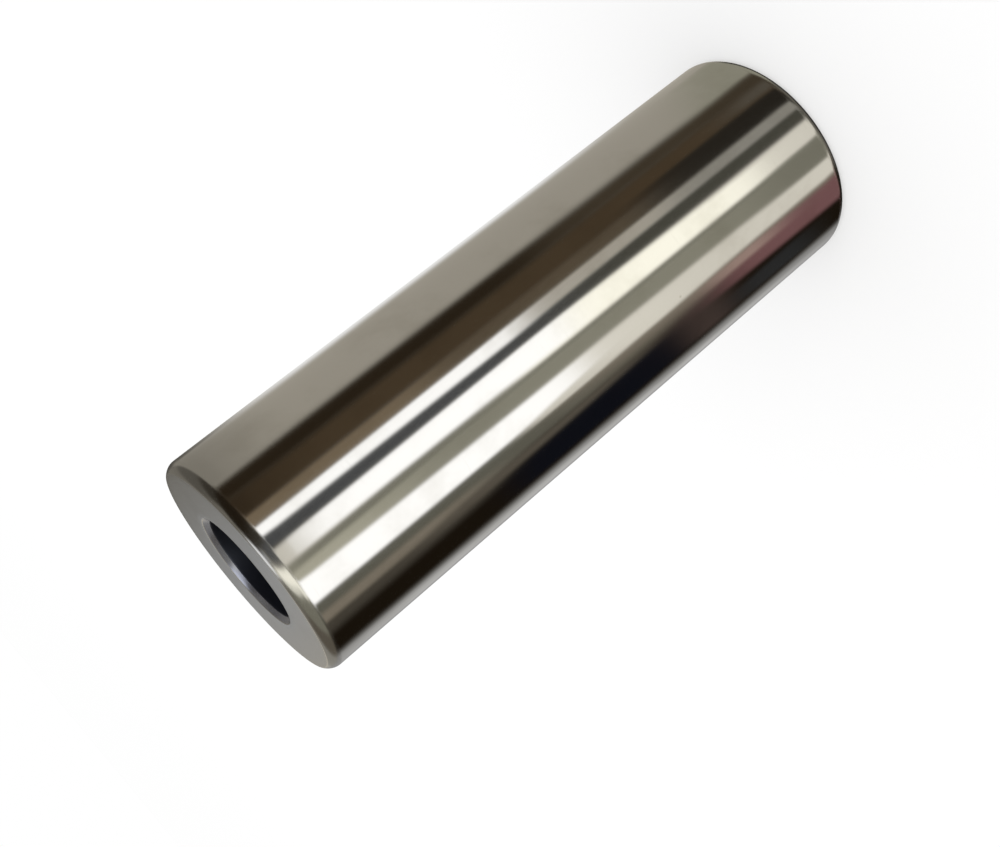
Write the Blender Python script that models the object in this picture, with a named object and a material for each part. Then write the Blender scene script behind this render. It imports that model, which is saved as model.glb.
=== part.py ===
"""Gudgeon pin: the hollow steel pin that joins a piston to its connecting rod.

The real pin is one turned tube. It is parted from bar, bored through, faced square at both ends, given a
rounded outer edge and a small countersink at each bore mouth, case hardened, and ground to size outside.
The solid is one profile of the tube's wall, turned about +Z. The pin stands on its lower end, with the
origin at the middle of that end face. All lengths are in metres.
"""

import math

import bmesh
import bpy
from mathutils import Vector

# Driving dimensions of the pin
OUTSIDE_DIAMETER = 0.0220
LENGTH = 0.0650
BORE_DIAMETER = 0.0104

# The outer edge of each end: an arc that leaves the ground surface smoothly and meets the end face
EDGE_LENGTH = 0.0011
EDGE_DEPTH = 0.0006

# The mouth of the bore at each end: a small countersink, with its inner corner rounded into the bore
MOUTH_DEPTH = 0.0005
MOUTH_ANGLE = math.radians(45)
MOUTH_ROUND = 0.0004

# Facets
TURNS = 120
EDGE_STEPS = 6
MOUTH_STEPS = 3
SMOOTH_ANGLE = math.radians(20)

# Finish
STEEL_COLOUR = (0.56, 0.54, 0.50, 1.0)
STEEL_ROUGHNESS = 0.18


def clear_scene():
    for old in list(bpy.data.objects):
        bpy.data.objects.remove(old)


def outer_edge():
    """Points of one end's outer edge as (inset, drop): how far in from the outside, and down from the end.

    They run from the end face to the ground surface, along an arc whose centre is level with the lower
    end of the arc, so that the arc is tangent to the ground surface.
    """
    radius = (EDGE_LENGTH**2 + EDGE_DEPTH**2) / (2 * EDGE_DEPTH)
    sweep = 2 * math.atan(EDGE_DEPTH / EDGE_LENGTH)
    points = []
    for step in range(EDGE_STEPS + 1):
        angle = sweep * (1 - step / EDGE_STEPS)
        points.append((radius * (1 - math.cos(angle)), EDGE_LENGTH - radius * math.sin(angle)))
    return points


def bore_mouth():
    """Points of one end's bore mouth as (widening, drop), from the bore wall up to the end face.

    The cone of the countersink stands at MOUTH_ANGLE to the axis, and an arc tangent to both rounds its
    corner with the bore.
    """
    tangent = MOUTH_ROUND * math.tan(MOUTH_ANGLE / 2)
    centre_drop = MOUTH_DEPTH + tangent
    points = []
    for step in range(MOUTH_STEPS + 1):
        angle = MOUTH_ANGLE * step / MOUTH_STEPS
        points.append((MOUTH_ROUND * (1 - math.cos(angle)), centre_drop - MOUTH_ROUND * math.sin(angle)))
    points.append((MOUTH_DEPTH * math.tan(MOUTH_ANGLE), 0.0))
    return points


def wall_profile():
    """Corners of the tube's wall in the XZ plane, as (radius, height), in order round the section."""
    outside = OUTSIDE_DIAMETER / 2
    bore = BORE_DIAMETER / 2
    upper_edge = [(outside - inset, LENGTH - drop) for inset, drop in outer_edge()]
    lower_edge = [(outside - inset, drop) for inset, drop in reversed(outer_edge())]
    lower_mouth = [(bore + widening, drop) for widening, drop in reversed(bore_mouth())]
    upper_mouth = [(bore + widening, LENGTH - drop) for widening, drop in bore_mouth()]
    return upper_edge + lower_edge + lower_mouth + upper_mouth


def turned_mesh(name, profile):
    """A closed mesh made by turning a closed profile about +Z."""
    shape = bmesh.new()
    corners = [shape.verts.new((radius, 0.0, height)) for radius, height in profile]
    outline = [shape.edges.new((a, b)) for a, b in zip(corners, corners[1:] + corners[:1])]
    bmesh.ops.spin(
        shape,
        geom=corners + outline,
        cent=Vector((0.0, 0.0, 0.0)),
        axis=Vector((0.0, 0.0, 1.0)),
        angle=2 * math.pi,
        steps=TURNS,
        use_merge=True,
    )
    bmesh.ops.recalc_face_normals(shape, faces=shape.faces)
    mesh = bpy.data.meshes.new(name)
    shape.to_mesh(mesh)
    shape.free()
    mesh.shade_smooth()
    mesh.set_sharp_from_angle(angle=SMOOTH_ANGLE)
    return mesh


def ground_steel():
    material = bpy.data.materials.new("ground_steel")
    material.use_nodes = True
    shader = material.node_tree.nodes["Principled BSDF"]
    shader.inputs["Base Color"].default_value = STEEL_COLOUR
    shader.inputs["Metallic"].default_value = 1.0
    shader.inputs["Roughness"].default_value = STEEL_ROUGHNESS
    return material


def make_pin():
    pin = bpy.data.objects.new("gudgeon_pin", turned_mesh("gudgeon_pin", wall_profile()))
    pin.data.materials.append(ground_steel())
    bpy.context.scene.collection.objects.link(pin)


clear_scene()
make_pin()
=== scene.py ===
"""Studio render of a gudgeon pin: the hollow steel pin that joins a piston to its connecting rod.

The pin stands on its end on a pale table, with its axis along +Z. Lengths are in metres.
"""

import math

import bmesh
import bpy
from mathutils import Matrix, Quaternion, Vector


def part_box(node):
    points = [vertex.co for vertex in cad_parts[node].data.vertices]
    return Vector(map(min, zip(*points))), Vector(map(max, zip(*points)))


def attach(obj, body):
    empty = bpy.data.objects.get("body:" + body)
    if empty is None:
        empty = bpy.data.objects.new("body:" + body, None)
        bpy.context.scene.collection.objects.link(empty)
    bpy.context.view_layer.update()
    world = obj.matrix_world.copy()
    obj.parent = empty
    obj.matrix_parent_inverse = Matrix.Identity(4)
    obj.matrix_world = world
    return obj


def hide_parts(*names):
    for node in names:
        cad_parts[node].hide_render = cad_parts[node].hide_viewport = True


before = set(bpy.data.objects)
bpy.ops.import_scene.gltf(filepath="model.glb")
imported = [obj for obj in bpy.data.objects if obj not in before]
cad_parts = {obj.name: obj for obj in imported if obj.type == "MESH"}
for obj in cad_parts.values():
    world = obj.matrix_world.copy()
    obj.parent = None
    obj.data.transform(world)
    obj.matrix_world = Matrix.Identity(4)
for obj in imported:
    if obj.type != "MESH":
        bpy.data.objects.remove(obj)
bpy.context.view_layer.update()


# The pin's form. It is one turned tube of case-hardening steel, faced square at both ends, with a rounded
# outer edge and a small countersink at each bore mouth. It is fine-turned here from one wall profile, so
# that its mirror surface carries clean reflections.
PIN_LOW, PIN_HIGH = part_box("gudgeon_pin")
PIN_RADIUS = (PIN_HIGH.x - PIN_LOW.x) / 2
PIN_LENGTH = PIN_HIGH.z - PIN_LOW.z
BORE_RADIUS = 0.0052
EDGE_LENGTH = 0.0011
EDGE_DEPTH = 0.0006
MOUTH_DEPTH = 0.0005
MOUTH_ANGLE = math.radians(45)
MOUTH_ROUND = 0.0002
BROKEN_CORNER = 0.00007
LEAST_CORNER_ANGLE = math.radians(15)
PIN_TURNS = 256
EDGE_STEPS = 14
MOUTH_STEPS = 6
CONE_STEPS = 2
CORNER_STEPS = 3
WALL_STEPS = 24
FACE_STEPS = 6
FLAT_FACE_WEIGHT = 90

GROUND, FACED, ROLLED, CUT, DRAWN = range(5)


def straight(start, end, steps, surface):
    """Profile points from start towards end, each with the surface that begins there."""
    return [(*Vector(start).lerp(Vector(end), step / steps), surface) for step in range(steps)]


def upper_half():
    """The wall's profile above mid-length, from the bore up, out over the end face and down the outside."""
    mouth_tangent = MOUTH_ROUND * math.tan(MOUTH_ANGLE / 2)
    mouth_centre = PIN_LENGTH - MOUTH_DEPTH - mouth_tangent
    mouth_rim = (BORE_RADIUS + MOUTH_DEPTH * math.tan(MOUTH_ANGLE), PIN_LENGTH)
    edge_radius = (EDGE_LENGTH**2 + EDGE_DEPTH**2) / (2 * EDGE_DEPTH)
    edge_sweep = 2 * math.atan(EDGE_DEPTH / EDGE_LENGTH)
    edge_centre = (PIN_RADIUS - edge_radius, PIN_LENGTH - EDGE_LENGTH)
    edge_rim = (PIN_RADIUS - EDGE_DEPTH, PIN_LENGTH)
    points = straight((BORE_RADIUS, PIN_LENGTH / 2), (BORE_RADIUS, mouth_centre), WALL_STEPS, DRAWN)
    # The mouth's rounded corner takes the bore's near-black colour, painted shade that hides its
    # reflection.
    for step in range(MOUTH_STEPS):
        angle = MOUTH_ANGLE * step / MOUTH_STEPS
        across = BORE_RADIUS + MOUTH_ROUND * (1 - math.cos(angle))
        points.append((across, mouth_centre + MOUTH_ROUND * math.sin(angle), DRAWN))
    cone_start = (BORE_RADIUS + MOUTH_ROUND * (1 - math.cos(MOUTH_ANGLE)),
                  mouth_centre + MOUTH_ROUND * math.sin(MOUTH_ANGLE))
    points += straight(cone_start, mouth_rim, CONE_STEPS, CUT)
    points += straight(mouth_rim, edge_rim, FACE_STEPS, FACED)
    for step in range(EDGE_STEPS):
        angle = edge_sweep * (1 - step / EDGE_STEPS)
        across = edge_centre[0] + edge_radius * math.cos(angle)
        points.append((across, edge_centre[1] + edge_radius * math.sin(angle), ROLLED))
    wall_top = (PIN_RADIUS, PIN_LENGTH - EDGE_LENGTH)
    points += straight(wall_top, (PIN_RADIUS, PIN_LENGTH / 2), WALL_STEPS, GROUND)
    return points


def wall_profile():
    """The whole profile: the upper half, then its mirror image below mid-length, back to the bore."""
    upper = upper_half()
    lower = [(PIN_RADIUS, PIN_LENGTH / 2, GROUND)]
    for (across, height, _), (_, _, surface) in zip(upper[:0:-1], upper[-2::-1]):
        lower.append((across, PIN_LENGTH - height, surface))
    return upper + lower


def break_corners(mesh):
    """The tumbled corners where the end faces meet the edges and the bore mouths."""
    shape = bmesh.new()
    shape.from_mesh(mesh)
    bmesh.ops.recalc_face_normals(shape, faces=shape.faces)
    corners = [edge for edge in shape.edges if edge.calc_face_angle(0.0) > LEAST_CORNER_ANGLE]
    bmesh.ops.bevel(shape, geom=corners, offset=BROKEN_CORNER, segments=CORNER_STEPS, profile=0.5,
                    affect="EDGES", material=ROLLED, clamp_overlap=True)
    shape.to_mesh(mesh)
    shape.free()


def turned_pin():
    """The wall's profile turned about the pin's axis, each face with the surface that its profile names."""
    profile = wall_profile()
    points = []
    for across, height, _ in profile:
        for turn in range(PIN_TURNS):
            angle = 2 * math.pi * turn / PIN_TURNS
            points.append((across * math.cos(angle), across * math.sin(angle), height))
    faces = []
    surfaces = []
    for ring, (_, _, surface) in enumerate(profile):
        below = (ring + 1) % len(profile)
        for turn in range(PIN_TURNS):
            beside = (turn + 1) % PIN_TURNS
            faces.append((ring * PIN_TURNS + turn, below * PIN_TURNS + turn,
                          below * PIN_TURNS + beside, ring * PIN_TURNS + beside))
            surfaces.append(surface)
    mesh = bpy.data.meshes.new("pin")
    mesh.from_pydata(points, [], faces)
    mesh.polygons.foreach_set("material_index", surfaces)
    break_corners(mesh)
    mesh.shade_smooth()
    return bpy.data.objects.new("pin", mesh)


pin = turned_pin()
bpy.context.scene.collection.objects.link(pin)
flat_shading = pin.modifiers.new("flat_faces_stay_flat", "WEIGHTED_NORMAL")
flat_shading.weight = FLAT_FACE_WEIGHT


# The pin's finish. Every surface is bare hardened steel, with the marks of the tool that made it: grinding
# and lapping round the outside, facing rings on the ends, a tumbled polish on the edges, and dark scale
# with fine rings in the bore, its colour darkened further to near black as painted shade of the deep bore.
# The marks and the handling are shader groups that the surfaces share.
STEEL = (0.60, 0.585, 0.56, 1.0)
STEEL_STAIN = (0.44, 0.42, 0.38, 1.0)
FACE_STEEL = (0.50, 0.49, 0.475, 1.0)
FACE_STAIN = (0.36, 0.35, 0.33, 1.0)
EDGE_STAIN = (0.42, 0.40, 0.36, 1.0)
# Lighter and bluer than the other steel: cut steel with a painted highlight, the bluish light from above
# worked into its colour.
CUT_STEEL_AND_HIGHLIGHT = (0.43, 0.44, 0.505, 1.0)
CUT_STAIN = (0.30, 0.30, 0.33, 1.0)
# Near black: the bore's dark scale, darkened further as painted shade of the deep bore.
BORE_SCALE_AND_SHADE = (0.055, 0.060, 0.082, 1.0)
BORE_STAIN = (0.05, 0.045, 0.05, 1.0)

FINE_MARK_SCALE = 3.7
FINE_MARK_HEIGHT = 0.4
SCRATCH_SCALE = 0.61
SCRATCH_RANGE = (0.68, 0.76)
SCRATCH_DEPTH = 0.15
SCRATCH_STAIN = 0.12
SMUDGE_SCALE = 130.0
SMUDGE_RANGE = (0.46, 0.72)
SMUDGE_STAIN = 0.35
NICK_SCALE = 210.0
NICK_FLOOR = 0.012
NICK_RIM = 0.024
NICK_RARITY = 0.86
NICK_DEPTH = 6.0


def new_group(name, inputs, outputs):
    """A shader group with the named inputs and number outputs, and its two end nodes."""
    group = bpy.data.node_groups.new(name, "ShaderNodeTree")
    for socket, kind in inputs:
        group.interface.new_socket(socket, in_out="INPUT", socket_type=kind)
    for socket in outputs:
        group.interface.new_socket(socket, in_out="OUTPUT", socket_type="NodeSocketFloat")
    return group, group.nodes.new("NodeGroupInput"), group.nodes.new("NodeGroupOutput")


def math_node(tree, operation, first, second=None):
    node = tree.nodes.new("ShaderNodeMath")
    node.operation = operation
    for socket, value in zip(node.inputs, (first, second)):
        if isinstance(value, (int, float)):
            socket.default_value = value
        elif value is not None:
            tree.links.new(value, socket)
    return node.outputs["Value"]


def range_node(tree, value, low, high, to_low=0.0, to_high=1.0):
    node = tree.nodes.new("ShaderNodeMapRange")
    node.interpolation_type = "SMOOTHSTEP"
    tree.links.new(value, node.inputs["Value"])
    for socket, number in (("From Min", low), ("From Max", high), ("To Min", to_low), ("To Max", to_high)):
        node.inputs[socket].default_value = number
    return node.outputs["Result"]


def noise_node(tree, place, scale, detail=3.0, roughness=0.6):
    node = tree.nodes.new("ShaderNodeTexNoise")
    node.inputs["Scale"].default_value = scale
    node.inputs["Detail"].default_value = detail
    node.inputs["Roughness"].default_value = roughness
    tree.links.new(place, node.inputs["Vector"])
    return node.outputs["Fac"]


def round_place(tree, given):
    """Coordinates for marks that run round the pin: the direction from the axis, then how far along.

    How far along is the height on the walls, where On End is 0, and the radius on the ends, where it is 1.
    """
    split = tree.nodes.new("ShaderNodeSeparateXYZ")
    tree.links.new(given.outputs["Position"], split.inputs["Vector"])
    flat = tree.nodes.new("ShaderNodeCombineXYZ")
    tree.links.new(split.outputs["X"], flat.inputs["X"])
    tree.links.new(split.outputs["Y"], flat.inputs["Y"])
    direction = tree.nodes.new("ShaderNodeVectorMath")
    direction.operation = "NORMALIZE"
    tree.links.new(flat.outputs["Vector"], direction.inputs[0])
    radius = tree.nodes.new("ShaderNodeVectorMath")
    radius.operation = "LENGTH"
    tree.links.new(flat.outputs["Vector"], radius.inputs[0])
    turned = tree.nodes.new("ShaderNodeSeparateXYZ")
    tree.links.new(direction.outputs["Vector"], turned.inputs["Vector"])
    on_wall = math_node(tree, "SUBTRACT", 1.0, given.outputs["On End"])
    up_wall = math_node(tree, "MULTIPLY", split.outputs["Z"], on_wall)
    across_end = math_node(tree, "MULTIPLY", radius.outputs["Value"], given.outputs["On End"])
    distance = math_node(tree, "ADD", up_wall, across_end)
    place = tree.nodes.new("ShaderNodeCombineXYZ")
    for socket, value, scale in (
        ("X", turned.outputs["X"], "Around"),
        ("Y", turned.outputs["Y"], "Around"),
        ("Z", distance, "Along"),
    ):
        tree.links.new(math_node(tree, "MULTIPLY", value, given.outputs[scale]), place.inputs[socket])
    return place.outputs["Vector"]


def tool_mark_group():
    """Marks that run round the pin with the tool: long arcs Around, close together Along."""
    group, given, out = new_group(
        "tool_marks",
        [("Position", "NodeSocketVector"), ("On End", "NodeSocketFloat"),
         ("Around", "NodeSocketFloat"), ("Along", "NodeSocketFloat")],
        ["Height", "Scratch"],
    )
    place = round_place(group, given)
    coarse = noise_node(group, place, 1.0)
    fine = noise_node(group, place, FINE_MARK_SCALE, detail=2.0)
    deep = range_node(group, noise_node(group, place, SCRATCH_SCALE, detail=1.0), *SCRATCH_RANGE)
    height = math_node(group, "ADD", coarse, math_node(group, "MULTIPLY", fine, FINE_MARK_HEIGHT))
    height = math_node(group, "SUBTRACT", height, math_node(group, "MULTIPLY", deep, SCRATCH_DEPTH))
    group.links.new(height, out.inputs["Height"])
    group.links.new(deep, out.inputs["Scratch"])
    return group


def handling_group():
    """What handling leaves: broad wipe marks of thin oil, and a few tiny nicks in the surface."""
    group, given, out = new_group("handling", [("Position", "NodeSocketVector")], ["Smudge", "Nick"])
    position = given.outputs["Position"]
    smudge = range_node(group, noise_node(group, position, SMUDGE_SCALE, detail=4.0), *SMUDGE_RANGE)
    cells = group.nodes.new("ShaderNodeTexVoronoi")
    cells.inputs["Scale"].default_value = NICK_SCALE
    group.links.new(position, cells.inputs["Vector"])
    near = range_node(group, cells.outputs["Distance"], NICK_FLOOR, NICK_RIM, 1.0, 0.0)
    split = group.nodes.new("ShaderNodeSeparateColor")
    group.links.new(cells.outputs["Color"], split.inputs["Color"])
    chosen = math_node(group, "GREATER_THAN", split.outputs["Red"], NICK_RARITY)
    group.links.new(smudge, out.inputs["Smudge"])
    group.links.new(math_node(group, "MULTIPLY", near, chosen), out.inputs["Nick"])
    return group


tool_marks = tool_mark_group()
handling = handling_group()


def use_group(tree, group, position):
    """The group placed in a material, reading this position."""
    node = tree.nodes.new("ShaderNodeGroup")
    node.node_tree = group
    tree.links.new(position, node.inputs["Position"])
    return node


def steel_surface(name, colour, stain, roughness, rougher, on_end, around, along, depth, metallic):
    """Bare steel with tool marks and handling. Where it is worn it has the stain and is rougher."""
    material = bpy.data.materials.new(name)
    material.use_nodes = True
    tree = material.node_tree
    shader = tree.nodes["Principled BSDF"]
    position = tree.nodes.new("ShaderNodeTexCoord").outputs["Object"]
    marks = use_group(tree, tool_marks, position)
    marks.inputs["On End"].default_value = on_end
    marks.inputs["Around"].default_value = around
    marks.inputs["Along"].default_value = along
    touch = use_group(tree, handling, position)
    tint = tree.nodes.new("ShaderNodeMix")
    tint.data_type = "RGBA"
    tint.inputs["A"].default_value = colour
    tint.inputs["B"].default_value = stain
    smudged = math_node(tree, "MULTIPLY", touch.outputs["Smudge"], SMUDGE_STAIN)
    scratched = math_node(tree, "MULTIPLY", marks.outputs["Scratch"], SCRATCH_STAIN)
    worn = math_node(tree, "MAXIMUM", touch.outputs["Nick"], smudged)
    worn = math_node(tree, "MAXIMUM", worn, scratched)
    tree.links.new(worn, tint.inputs["Factor"])
    tree.links.new(tint.outputs["Result"], shader.inputs["Base Color"])
    tree.links.new(range_node(tree, worn, 0.0, 1.0, roughness, rougher), shader.inputs["Roughness"])
    nicked = math_node(tree, "MULTIPLY", touch.outputs["Nick"], NICK_DEPTH)
    bump = tree.nodes.new("ShaderNodeBump")
    bump.inputs["Strength"].default_value = 1.0
    bump.inputs["Distance"].default_value = depth
    tree.links.new(math_node(tree, "SUBTRACT", marks.outputs["Height"], nicked), bump.inputs["Height"])
    tree.links.new(bump.outputs["Normal"], shader.inputs["Normal"])
    shader.inputs["Metallic"].default_value = metallic
    return material


# In the order of the surfaces' numbers: GROUND, FACED, ROLLED, CUT, DRAWN
for surface_material in (
    steel_surface("ground_outside", STEEL, STEEL_STAIN, roughness=0.09, rougher=0.16,
                  on_end=0.0, around=6.0, along=9000.0, depth=1.2e-7, metallic=1.0),
    steel_surface("faced_end", FACE_STEEL, FACE_STAIN, roughness=0.30, rougher=0.40,
                  on_end=1.0, around=4.0, along=3200.0, depth=2.0e-6, metallic=1.0),
    steel_surface("rolled_edge", STEEL, EDGE_STAIN, roughness=0.18, rougher=0.27,
                  on_end=0.0, around=5.0, along=8000.0, depth=2e-7, metallic=1.0),
    # The countersink's colour carries a painted highlight.
    steel_surface("cut_mouth_and_highlight", CUT_STEEL_AND_HIGHLIGHT, CUT_STAIN, roughness=0.20, rougher=0.30,
                  on_end=0.0, around=5.0, along=8000.0, depth=3e-7, metallic=0.94),
    # The bore's near-black colour is partly dark scale and partly painted shade.
    steel_surface("drawn_bore_and_shade", BORE_SCALE_AND_SHADE, BORE_STAIN, roughness=0.42, rougher=0.52,
                  on_end=0.0, around=9.0, along=2500.0, depth=6e-7, metallic=0.88),
):
    pin.data.materials.append(surface_material)
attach(pin, "root")
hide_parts("gudgeon_pin")


# The table. A plain white sheet under the pin, which shows its soft shadow. Reflections look past it, as
# they do with a pin that stands on clear glass over a studio.
TABLE_SIZE = 60.0
TABLE_COLOUR = (0.90, 0.90, 0.90, 1.0)
TABLE_ROUGHNESS = 0.9
TABLE_GLOW = 0.5


def seen_by_eye(tree):
    """1 for what the eye sees, straight, in a reflection or through glass, and 0 for light on things."""
    path = tree.nodes.new("ShaderNodeLightPath")
    seen = math_node(tree, "MAXIMUM", path.outputs["Is Camera Ray"], path.outputs["Is Glossy Ray"])
    return math_node(tree, "MAXIMUM", seen, path.outputs["Is Transmission Ray"])


bpy.ops.mesh.primitive_plane_add(size=TABLE_SIZE, location=(0, 0, PIN_LOW.z))
table = bpy.context.object
table.name = "table"
table.visible_glossy = False
table_material = bpy.data.materials.new("white_table")
table_material.use_nodes = True
table_tree = table_material.node_tree
table_shader = table_tree.nodes["Principled BSDF"]
table_shader.inputs["Base Color"].default_value = TABLE_COLOUR
table_shader.inputs["Roughness"].default_value = TABLE_ROUGHNESS
table_shader.inputs["Specular IOR Level"].default_value = 0.0
white = table_tree.nodes.new("ShaderNodeEmission")
white.inputs["Strength"].default_value = 1.0
see_white = table_tree.nodes.new("ShaderNodeMixShader")
table_glow = math_node(table_tree, "MULTIPLY", seen_by_eye(table_tree), TABLE_GLOW)
table_tree.links.new(table_glow, see_white.inputs["Fac"])
table_tree.links.new(table_shader.outputs["BSDF"], see_white.inputs[1])
table_tree.links.new(white.outputs["Emission"], see_white.inputs[2])
table_tree.links.new(see_white.outputs["Shader"], table_tree.nodes["Material Output"].inputs["Surface"])
table.data.materials.append(table_material)


# The studio. The room is white to the camera, and lights the table evenly. Round the pin stand the walls,
# flags and window panes that a mirror surface needs to show its form: curved cards that only reflections
# see, and that close off the room all round. Each fades out softly at its sides and ends.
ROOM_LIGHT = 1.10
LAMP_POWER = 2.2
LAMP_SIZE = 0.8
LAMP_PLACE = Vector((0.25, -0.75, 1.2))
CARD_DISTANCE = 20.0
CARD_GAP = 0.1
CARD_STEP = 4.0
CLOSING_RISE = 89.0
FADE_STEPS = 6

world = bpy.data.worlds.new("white_room")
bpy.context.scene.world = world
world.use_nodes = True
world.cycles.sampling_method = "NONE"
room = world.node_tree
room_light = room.nodes["Background"]
room_light.inputs["Strength"].default_value = ROOM_LIGHT
room_light.inputs["Color"].default_value = (1, 1, 1, 1)
room_white = room.nodes.new("ShaderNodeBackground")
room_white.inputs["Color"].default_value = (1, 1, 1, 1)
room_mix = room.nodes.new("ShaderNodeMixShader")
room.links.new(seen_by_eye(room), room_mix.inputs["Fac"])
room.links.new(room_light.outputs["Background"], room_mix.inputs[1])
room.links.new(room_white.outputs["Background"], room_mix.inputs[2])
room.links.new(room_mix.outputs["Shader"], room.nodes["World Output"].inputs["Surface"])

lamp = bpy.data.objects.new("soft_lamp", bpy.data.lights.new("soft_lamp", "AREA"))
lamp.data.shape = "DISK"
lamp.data.size = LAMP_SIZE
lamp.data.energy = LAMP_POWER
lamp.location = LAMP_PLACE
lamp.rotation_euler = (-LAMP_PLACE).to_track_quat("-Z", "Y").to_euler()
lamp.visible_glossy = False
bpy.context.scene.collection.objects.link(lamp)

WHITE = (0.98, 0.99, 1.0)
CREAM = (1.0, 0.99, 0.88)
STONE = (1.0, 0.97, 0.87)
GREY = (1.0, 1.0, 0.99)
BLUE_GREY = (0.93, 0.96, 1.0)
OLIVE = (1.0, 0.98, 0.79)
TAUPE = (1.0, 0.94, 0.81)
SMOKE = (1.0, 0.88, 0.70)
TAN = (1.0, 0.78, 0.52)
BROWN = (1.0, 0.70, 0.41)
BLUE_BLACK = (0.55, 0.62, 1.0)
DULL_RED = (1.0, 0.50, 0.52)
PINK = (1.0, 0.72, 0.63)

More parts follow.
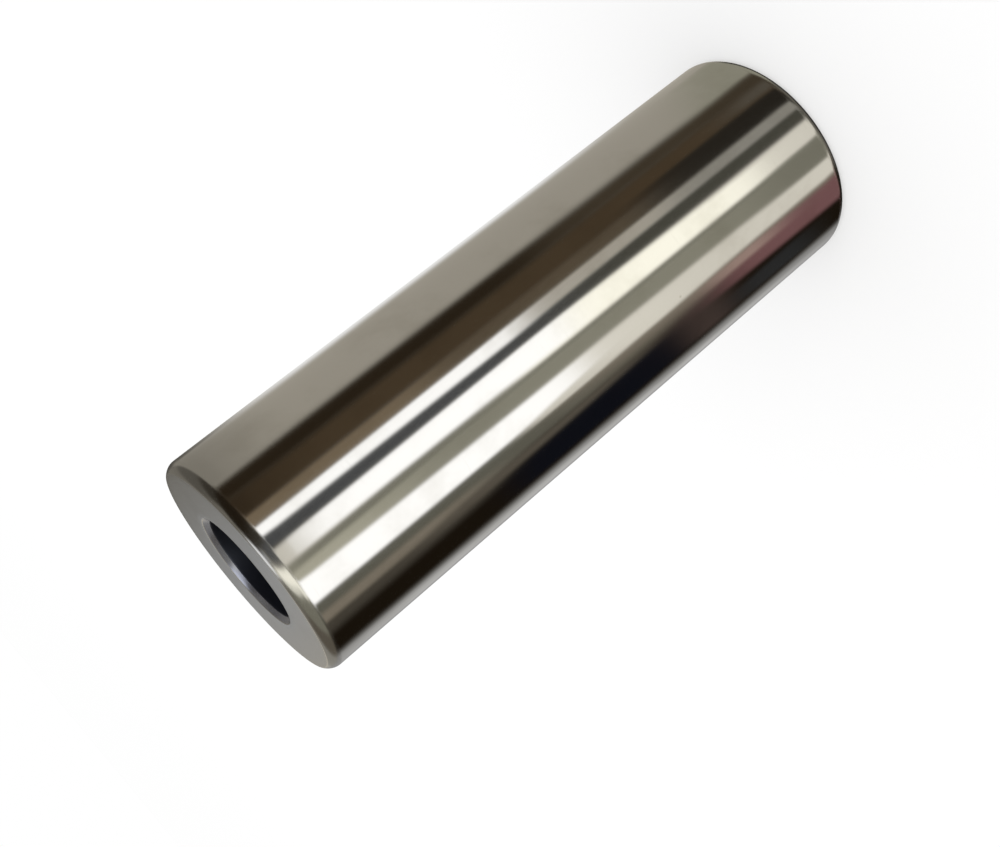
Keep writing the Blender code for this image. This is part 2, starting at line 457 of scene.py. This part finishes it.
# Each card: its name, degrees up from level at its top and foot, degrees round the pin from the camera's
# side at its left and right, first along the top and then along the foot, how many degrees its sides and
# ends take to fade, its colour and its strength. Each card stands a little nearer than the one before it.
# Their places, colours and strengths are taken from the reflections on the real pin.
CARDS = [
    ("dome", (90, -4), (-190, 190), (-190, 190), 4, 4, TAUPE, 0.20),
    ("room_ring", (6, -66), (-190, 190), (-190, 190), 4, 8, TAUPE, 0.14),
    ("under_table", (-54, -90), (-190, 190), (-190, 190), 4, 16, TAUPE, 0.17),
    ("left_back_ceiling", (75, -2), (-192, -132), (-192, -132), 14, 6, STONE, 0.33),
    ("left_brown_ceiling", (52, -2), (-133, -94), (-133, -94), 10, 10, SMOKE, 0.14),
    ("left_olive_ceiling", (70, -2), (-96, -50), (-96, -50), 10, 14, OLIVE, 0.24),
    ("left_cream_ceiling", (74, -2), (-64, -30), (-41, -30), 7, 18, CREAM, 1.00),
    ("left_cream_soffit", (17, -2), (-53, -30), (-52, -30), 6, 12, CREAM, 1.30),
    ("middle_cream_ceiling", (66, 6), (-42, -20), (-37, -17.5), 6, 12, CREAM, 1.42),
    ("front_ceiling", (50, -2), (-12, 12), (-12, 12), 8, 14, BLUE_GREY, 0.12),
    ("front_skylight", (84, 56), (-14, 16), (-9, 10), 10, 14, BLUE_GREY, 0.40),
    ("front_dark_ceiling", (78, 8), (10, 34), (10, 34), 8, 10, SMOKE, 0.045),
    ("right_dark_ceiling", (73, -2), (30, 84), (30, 80), 8, 14, BROWN, 0.020),
    ("right_brown_ceiling", (52, -2), (76, 104), (76, 104), 12, 12, SMOKE, 0.055),
    ("right_taupe_ceiling", (52, -2), (100, 150), (100, 150), 16, 12, TAUPE, 0.13),
    ("back_wall", (55, -8), (176, 198), (176, 198), 9, 10, BLUE_GREY, 0.53),
    ("warm_back_wall", (55, -8), (184, 198), (184, 198), 7, 10, TAUPE, 0.53),
    ("dark_back_wall", (55, -8), (140, 177), (140, 177), 8, 10, TAUPE, 0.21),
    ("zenith_light", (90, 79), (-190, 190), (-190, 190), 4, 7, BLUE_GREY, 1.20),
    ("pale_wall", (3, -66), (-192, -129), (-192, -129), 18, 8, GREY, 0.33),
    ("pale_wall_panel", (-9, -34), (-161, -137), (-161, -144), 14, 11, GREY, 0.57),
    ("taupe_wall", (3, -66), (76.5, 178), (76.5, 178), 15, 8, TAUPE, 0.47),
    ("taupe_wall_top", (3, -11.5), (76.5, 178), (76.5, 178), 15, 5, TAUPE, 0.30),
    ("taupe_wall_foot", (-34, -66), (66, 135), (66, 135), 10, 3, OLIVE, 0.38),
    ("pale_door", (-12.8, -29.5), (147, 180), (147, 180), 20, 7, GREY, 0.93),
    ("dark_jamb", (5, -10.5), (152, 184), (152, 184), 8, 5, TAUPE, 0.085),
    ("table_shadow", (-44, -88), (126, 234), (126, 234), 16, 8, TAUPE, 0.020),
    ("dark_wall", (3, -64), (-129, -62), (-131, -62), 16, 8, BROWN, 0.014),
    ("brown_smoke", (3, -19), (-101, -62), (-94, -60), 14, 4, SMOKE, 0.085),
    ("olive_strip", (3, -27), (-82, -60), (-80, -58), 9, 8, OLIVE, 0.16),
    ("tan_streak", (-5, -18), (-83.5, -73), (-83.5, -73), 7, 5, SMOKE, 0.30),
    ("tan_streak_foot", (-15, -27), (-90, -80), (-91, -81), 8, 5, SMOKE, 0.14),
    ("blue_flag", (-19, -28.3), (-123, -92), (-123, -84), 10, 2.5, BLUE_BLACK, 0.012),
    ("grey_smoke", (-28.2, -30.4), (-123, -74), (-123, -74), 12, 1.8, PINK, 0.080),
    ("blue_reflection", (-30.8, -34.5), (-122, -102), (-124, -100), 8, 2, BLUE_GREY, 0.036),
    ("sill_side", (-23.5, -64), (-76, -60), (-72, -60), 18, 6, SMOKE, 0.28),
    ("red_book", (-30.6, -50), (-91, -68), (-106, -68), 8, 3, DULL_RED, 0.25),
    ("pink_spot", (-30.5, -33.5), (-77, -67), (-77, -67), 6, 2.5, PINK, 0.52),
    ("olive_wall", (3, -66), (-42, -14), (-54, -16), 4, 8, OLIVE, 0.36),
    ("olive_wall_light", (3, -15), (-38, -26), (-38, -26), 6, 7, OLIVE, 0.60),
    ("olive_wall_dark", (-10, -66), (-24.5, -17), (-28, -20), 4, 5, OLIVE, 0.27),
    ("left_foot", (-24, -60), (-65.5, -40.2), (-61, -54.4), 5.5, 6, STONE, 0.99),
    ("left_sill", (-23, -29), (-63, -41.2), (-65, -44.6), 5, 2.5, STONE, 1.06),
    ("left_pane", (0, -24.2), (-60.2, -32.2), (-62.2, -41.6), 4.5, 1.6, WHITE, 1.75),
    ("left_pane_corner", (-21, -25.5), (-66, -61), (-66, -54), 3, 2, STONE, 0.98),
    ("middle_foot", (-22, -62), (-21.5, -1), (-21.5, -2), 5, 8, STONE, 0.97),
    ("foot_shade", (-34, -60), (-46, -21.5), (-46, -22), 6, 4, OLIVE, 0.26),
    ("middle_sill", (-22, -34.5), (-20.8, 3), (-22, -4.5), 5, 1.2, CREAM, 1.62),
    ("middle_pane_top", (3, -14), (-17.8, -0.3), (-17.8, -0.3), 6, 3, STONE, 0.86),
    ("middle_pane", (-11, -25), (-16.5, 0.4), (-19.9, 2.4), 5, 1.2, WHITE, 1.75),
    ("dark_mullion", (3, -64), (2.1, 15), (1, 11.5), 4, 8, OLIVE, 0.088),
    ("dark_mullion_top", (3, -25), (2.1, 15), (1.9, 13.2), 4, 8, BLUE_GREY, 0.100),
    ("right_foot", (-21, -62), (12.6, 24.4), (13, 23), 4, 8, STONE, 0.38),
    ("right_sill", (-21, -31), (12.4, 24.4), (13.6, 24.4), 4, 1.5, TAUPE, 0.57),
    ("right_pane", (0, -23.4), (16, 24), (11.2, 24.3), 4, 1, WHITE, 1.68),
    ("tan_edge", (3, -21.5), (24.4, 38), (24.6, 36), 4, 4, TAN, 0.255),
    ("tan_edge_low", (-19, -31), (24.6, 38), (24.6, 38), 4, 4, TAN, 0.136),
    ("brown_wall", (3, -64), (37, 59), (37, 62), 6, 8, BROWN, 0.086),
    ("brown_wall_top", (3, -11.5), (37, 59), (37, 59), 6, 4, BROWN, 0.048),
    ("dark_corner", (-30.5, -64), (24.6, 45), (24, 43), 5, 3, SMOKE, 0.028),
    ("brown_foot", (-35, -64), (47, 76), (47, 76), 8, 2, SMOKE, 0.125),
    ("dark_post", (3, -64), (58.5, 74), (58.5, 74), 10, 8, TAN, 0.074),
    ("dark_post_top", (3, -26), (58.5, 75), (58.5, 75), 10, 4, BROWN, 0.031),
]


def card_material(name, colour, strength):
    """A card that shines evenly where its fade is 1 and is clear where it is 0."""
    material = bpy.data.materials.new(name)
    material.use_nodes = True
    material.cycles.emission_sampling = "NONE"
    tree = material.node_tree
    tree.nodes.remove(tree.nodes["Principled BSDF"])
    fade = tree.nodes.new("ShaderNodeAttribute")
    fade.attribute_name = "fade"
    glow = tree.nodes.new("ShaderNodeEmission")
    glow.inputs["Color"].default_value = (*colour, 1.0)
    glow.inputs["Strength"].default_value = strength
    clear = tree.nodes.new("ShaderNodeBsdfTransparent")
    mix = tree.nodes.new("ShaderNodeMixShader")
    tree.links.new(fade.outputs["Fac"], mix.inputs["Fac"])
    tree.links.new(clear.outputs["BSDF"], mix.inputs[1])
    tree.links.new(glow.outputs["Emission"], mix.inputs[2])
    tree.links.new(mix.outputs["Shader"], tree.nodes["Material Output"].inputs["Surface"])
    return material


def fading_lines(low, high, soft, middles):
    """Places from low to high, each with its fade: up over soft degrees about low, and back about high."""
    shares = [step / FADE_STEPS for step in range(FADE_STEPS + 1)]
    rising = [(low + soft * (share - 0.5), share * share * (3 - 2 * share)) for share in shares]
    falling = [(high - (place - low), fade) for place, fade in reversed(rising)]
    first, last = rising[-1][0], falling[0][0]
    between = [(first + (last - first) * step / middles, 1.0) for step in range(1, middles)]
    return rising + between + falling


def card(order, name, up, at_top, at_foot, soft_side, soft_end, colour, strength):
    """A curved card, nearer than the ones before it.

    An end that comes near straight up or straight down closes over the pin and doesn't fade.
    """
    distance = CARD_DISTANCE - CARD_GAP * order
    across = math.ceil(max(at_top[1] - at_top[0], at_foot[1] - at_foot[0]) / CARD_STEP)
    rows = fading_lines(up[1], up[0], soft_end, math.ceil((up[0] - up[1]) / CARD_STEP))
    points = []
    fades = []
    for rise, end_fade in rows:
        share = (up[0] - rise) / (up[0] - up[1])
        left = at_top[0] + (at_foot[0] - at_top[0]) * share
        right = at_top[1] + (at_foot[1] - at_top[1]) * share
        lift = math.radians(min(max(rise, -90.0), 90.0))
        closes = abs(rise) > CLOSING_RISE - soft_end
        for turn, side_fade in fading_lines(left, right, soft_side, across):
            swing = math.radians(turn)
            points.append((distance * math.sin(swing) * math.cos(lift),
                           -distance * math.cos(swing) * math.cos(lift),
                           distance * math.sin(lift) + PIN_LENGTH / 2))
            fades.append(side_fade if closes else side_fade * end_fade)
    width = len(points) // len(rows)
    faces = []
    for row in range(len(rows) - 1):
        for column in range(width - 1):
            first = row * width + column
            faces.append((first, first + 1, first + width + 1, first + width))
    mesh = bpy.data.meshes.new(name)
    mesh.from_pydata(points, [], faces)
    mesh.attributes.new("fade", "FLOAT", "POINT").data.foreach_set("value", fades)
    mesh.materials.append(card_material(name, colour, strength))
    made = bpy.data.objects.new(name, mesh)
    made.visible_camera = False
    made.visible_diffuse = False
    made.visible_transmission = False
    made.visible_shadow = False
    bpy.context.scene.collection.objects.link(made)


for order, row in enumerate(CARDS):
    card(order, *row)

bpy.context.scene.view_settings.view_transform = "Standard"


# The camera. It looks down on the standing pin from 23 degrees, close enough for strong perspective, and is
# rolled so that the pin lies across the picture with its upper end at the lower left.
CAMERA_PLACE = Vector((0.0, -0.11970, 0.08316))
CAMERA_AIM = Vector((-0.00405, 0.0, 0.03904))
CAMERA_ROLL = math.radians(-129.75)
CAMERA_LENS = 51.0
CAMERA_FILM = 36.0
CAMERA_NEAREST = 0.005

camera = bpy.data.objects.new("camera", bpy.data.cameras.new("camera"))
camera.data.lens = CAMERA_LENS
camera.data.sensor_width = CAMERA_FILM
camera.data.clip_start = CAMERA_NEAREST
camera.location = CAMERA_PLACE
level = (CAMERA_AIM - CAMERA_PLACE).to_track_quat("-Z", "Y")
camera.rotation_mode = "QUATERNION"
camera.rotation_quaternion = level @ Quaternion((0, 0, 1), CAMERA_ROLL)
bpy.context.scene.collection.objects.link(camera)
bpy.context.scene.camera = camera
